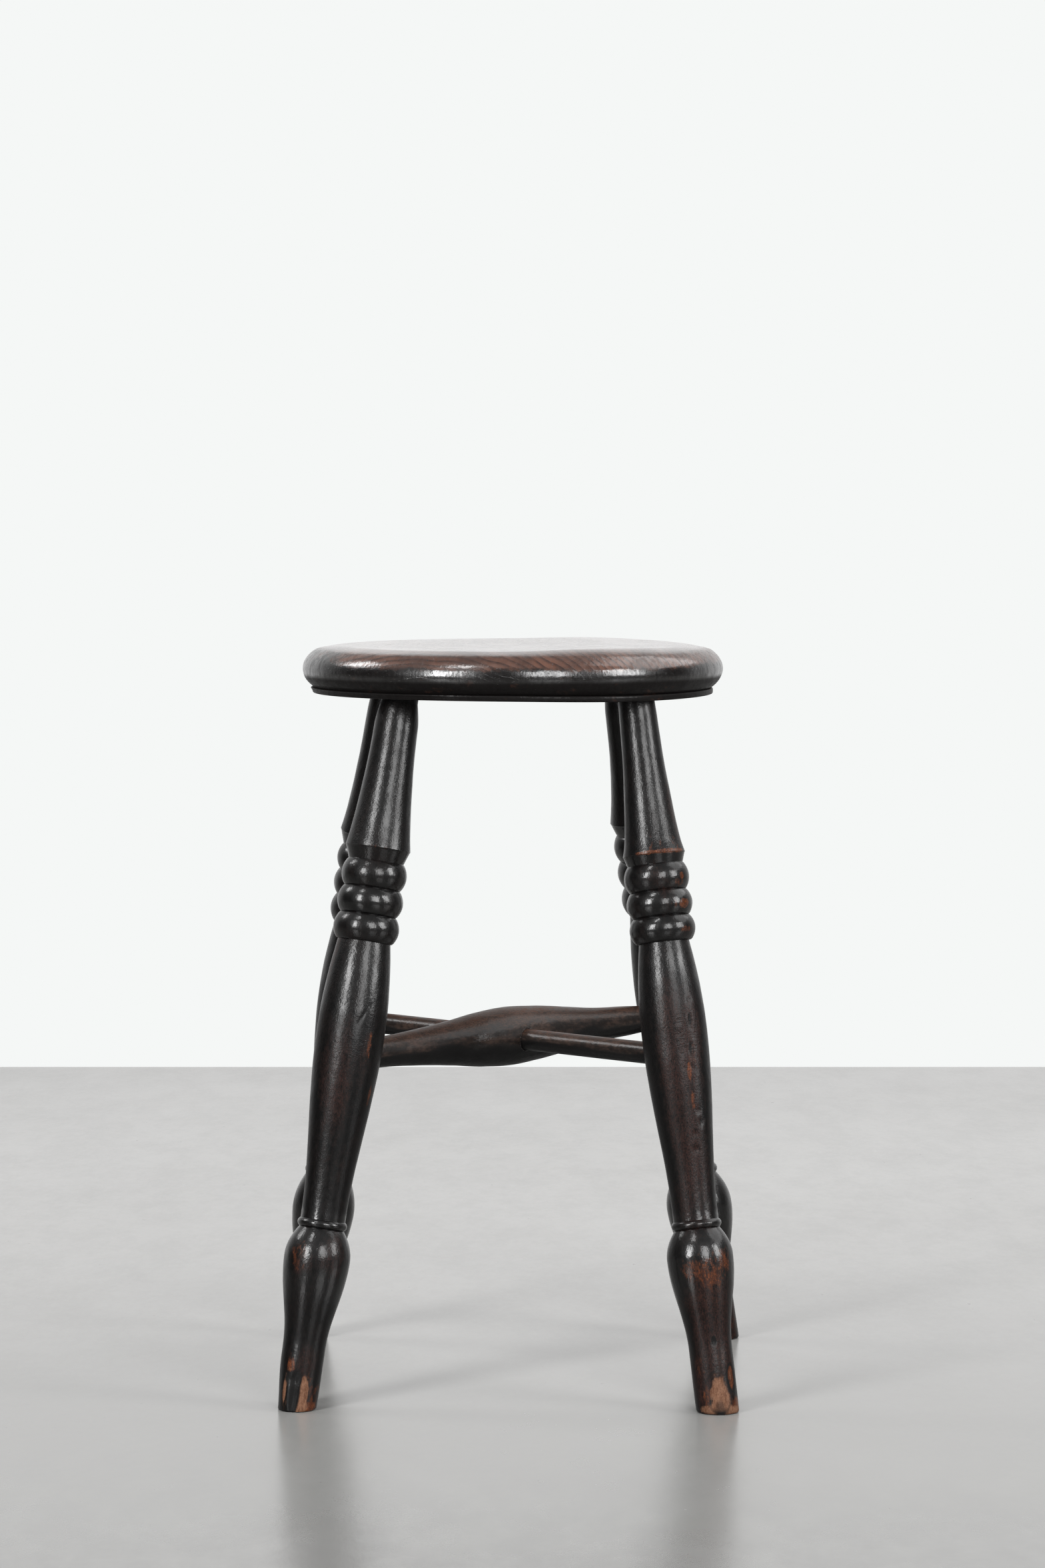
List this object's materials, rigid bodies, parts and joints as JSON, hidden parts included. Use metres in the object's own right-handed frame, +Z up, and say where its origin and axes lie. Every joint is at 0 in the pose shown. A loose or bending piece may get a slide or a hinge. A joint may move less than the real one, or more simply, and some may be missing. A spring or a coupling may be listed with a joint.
{
  "type": "round turned-leg stool",
  "caption": "Round-seated wooden stool on splayed turned legs tied by crossed stretchers, for sitting on.",
  "frame": {"origin": "on the floor under the middle of the seat and the feet", "axes": "+Z up from the floor to the seat, +X to the sitter's right seen from the front, -Y the front"},
  "size_m": [0.3608, 0.3624, 0.56],
  "materials": {
    "seat_wood": "dark reddish-brown waxed wood, glossy, with near-black stain under the rim",
    "leg_wood": "near-black stained and waxed turned wood, brown where worn",
    "stretcher_wood": "dark brown waxed wood, worn lighter on top"
  },
  "bodies": {
    "root": {"seat": "seat_wood", "leg_front_left": "leg_wood", "leg_front_right": "leg_wood", "leg_back_left": "leg_wood", "leg_back_right": "leg_wood", "main_stretcher": "stretcher_wood", "cross_stretcher": "stretcher_wood"}
  },
  "joints": []
}
